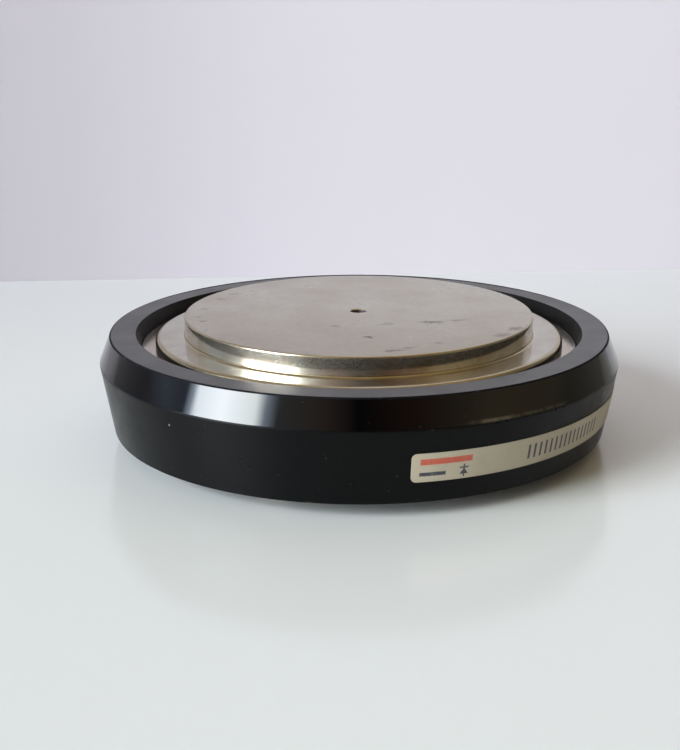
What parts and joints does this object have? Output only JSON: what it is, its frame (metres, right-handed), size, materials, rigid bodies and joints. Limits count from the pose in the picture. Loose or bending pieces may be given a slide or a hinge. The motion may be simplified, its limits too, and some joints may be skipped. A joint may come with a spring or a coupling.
{
  "type": "rectifier diode",
  "caption": "Disc-cell power rectifier diode: a moulded black ring around two nickel-plated pole pieces that clamp a silicon wafer.",
  "frame": {"origin": "centre of the lower (anode) contact face", "axes": "+Z along the cell's axis, from the anode face to the cathode face; +X to the right of the camera, which looks along +Y, and the label starts at the front, right of the middle"},
  "size_m": [0.1098, 0.1098, 0.026],
  "materials": {
    "moulded_ring": "moulded, glossy on the cone and satin below",
    "plated_pole": "nickel-plated, matte on the contact face and polished on the wall",
    "sheet_metal": "satin",
    "silver": "satin",
    "molybdenum": "lapped",
    "silicon": "polished",
    "silicone_rubber": "smooth",
    "insulator": "smooth",
    "label_film": "satin film"
  },
  "bodies": {
    "root": {"housing_ring": "moulded_ring", "anode_pole": "plated_pole", "cathode_pole": "plated_pole", "anode_sheet_ring": "sheet_metal", "cathode_sheet_ring": "sheet_metal", "anode_foil": "silver", "molybdenum_base": "molybdenum", "silicon_wafer": "silicon", "edge_coating": "silicone_rubber", "molybdenum_disc": "molybdenum", "cathode_foil": "silver", "centring_ring": "insulator", "label": "label_film"}
  },
  "joints": []
}
